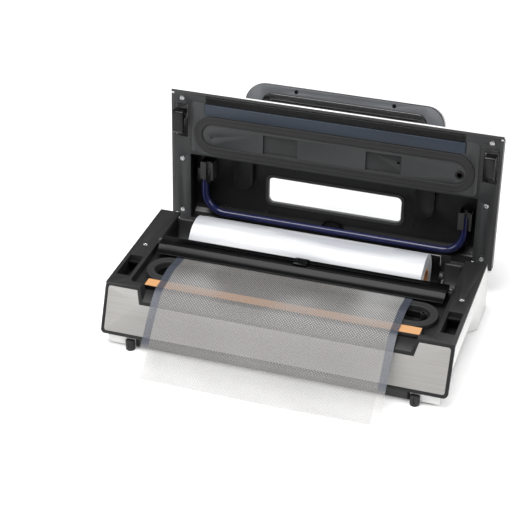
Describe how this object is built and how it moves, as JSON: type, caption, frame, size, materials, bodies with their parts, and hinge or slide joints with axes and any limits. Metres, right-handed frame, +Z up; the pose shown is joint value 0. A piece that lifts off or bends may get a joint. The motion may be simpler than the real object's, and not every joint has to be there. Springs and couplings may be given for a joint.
{
  "type": "vacuum sealer",
  "caption": "Clamshell countertop vacuum sealer with a film roll in its cradle, a sliding cutter on a bar, a hinged lid and a locking handle.",
  "frame": {"origin": "middle of the overall width and depth, on the table under the feet", "axes": "X runs to the right along the lid hinge, Y to the back, Z up"},
  "size_m": [0.4, 0.3558, 0.2097],
  "materials": {
    "shell": "pale silver fine texture",
    "deck": "charcoal fine texture",
    "black": "black moulded",
    "rubber_foot": "matte",
    "gasket": "matte foam rubber",
    "press_rubber": "blue grey silicone",
    "steel_panel": "satin",
    "steel": "plain",
    "alloy": "cast",
    "tape": "amber woven tape",
    "film": "clear embossed film",
    "rolled_film": "wound film",
    "card": "cardboard",
    "cutter": "fine ribbed black",
    "clear": "clear",
    "hose": "glossy navy",
    "tube": "soft tube",
    "core_metal": "varnished",
    "board": "green",
    "intake": "grey",
    "panel": "gloss black",
    "key": "satin silver",
    "grip": "gloss black",
    "grip_face": "grey"
  },
  "bodies": {
    "root": {"lower_housing": "shell", "bottom_pan": "black", "front_feet": "rubber_foot", "rear_feet": "rubber_foot", "top_deck": "deck", "steel_fascia": "steel_panel", "drip_tray": "black", "lower_gasket": "gasket", "intake_nozzle": "intake", "seal_bar_body": "black", "heating_wire": "steel", "seal_tape": "tape", "cutter_rail": "black", "cutter_brackets": "deck", "roll_cradle": "black", "hinge_brackets": "deck", "hinge_pins": "steel", "catch_plates": "steel", "deck_screws": "steel", "bottom_screws": "steel", "vacuum_pump": "alloy", "pump_motor": "steel", "pump_hose": "tube", "transformer": "core_metal", "power_board": "board", "mains_inlet": "black", "film_sheet": "film"},
    "roll": {"film_roll": "rolled_film", "roll_core": "card"},
    "cutter_arm": {"cutter_bar": "cutter"},
    "cutter_carriage": {"cutter_slider": "cutter", "cutter_blade": "steel"},
    "lid": {"lid_shell": "shell", "lid_frame": "deck", "lid_well": "deck", "lid_hinge_arms": "deck", "window_pane": "clear", "chamber_plate": "deck", "upper_gasket": "gasket", "pressing_rubber": "press_rubber", "ridged_strip": "black", "vacuum_port": "black", "hose_clips": "black", "accessory_hose": "hose", "hose_fittings": "black", "lid_screws": "steel", "handle_pins": "steel", "control_panel": "panel", "control_board": "board"},
    "latch": {"latch_bar": "alloy", "latch_hooks": "deck"},
    "handle": {"handle_grip": "grip", "handle_cover": "grip_face", "handle_screws": "steel"},
    "key_1": {"button_1": "key"},
    "key_2": {"button_2": "key"},
    "key_3": {"button_3": "key"},
    "key_4": {"button_4": "key"}
  },
  "joints": [
    {"name": "lid_hinge", "type": "hinge", "parent": "root", "child": "lid", "pos_m": [0, 0.07189, 0.039], "axis": [1, 0, 0], "range_deg": [0, 94]},
    {"name": "handle_pivot", "type": "hinge", "parent": "lid", "child": "handle", "pos_m": [0, 0.12571, 0.1004], "axis": [1, 0, 0], "range_deg": [0, 19]},
    {"name": "latch_slide", "type": "slide", "parent": "lid", "child": "latch", "axis": [0, -0.0698, -0.9976], "range_m": [0, 0.00701]},
    {"name": "cutter_bar_hinge", "type": "hinge", "parent": "root", "child": "cutter_arm", "pos_m": [0, 0.00089, 0.0715], "axis": [1, 0, 0], "range_deg": [-60, 0]},
    {"name": "cutter_slide", "type": "slide", "parent": "cutter_arm", "child": "cutter_carriage", "axis": [1, 0, 0], "range_m": [-0.13, 0.13]},
    {"name": "roll_spin", "type": "hinge", "parent": "root", "child": "roll", "pos_m": [-0.004, 0.03789, 0.053], "axis": [1, 0, 0], "continuous": true},
    {"name": "button_1_press", "type": "slide", "parent": "lid", "child": "key_1", "axis": [0, -0.9976, 0.0698], "range_m": [0, 0.0015], "stiffness_N_per_m": 400, "springref_m": -0.001},
    {"name": "button_2_press", "type": "slide", "parent": "lid", "child": "key_2", "axis": [0, -0.9976, 0.0698], "range_m": [0, 0.0015], "stiffness_N_per_m": 400, "springref_m": -0.001},
    {"name": "button_3_press", "type": "slide", "parent": "lid", "child": "key_3", "axis": [0, -0.9976, 0.0698], "range_m": [0, 0.0015], "stiffness_N_per_m": 400, "springref_m": -0.001},
    {"name": "button_4_press", "type": "slide", "parent": "lid", "child": "key_4", "axis": [0, -0.9976, 0.0698], "range_m": [0, 0.0015], "stiffness_N_per_m": 400, "springref_m": -0.001}
  ],
  "couplings": [
    {"joint": "latch_slide", "follows": "handle_pivot", "m_per_rad": 0.021109}
  ]
}
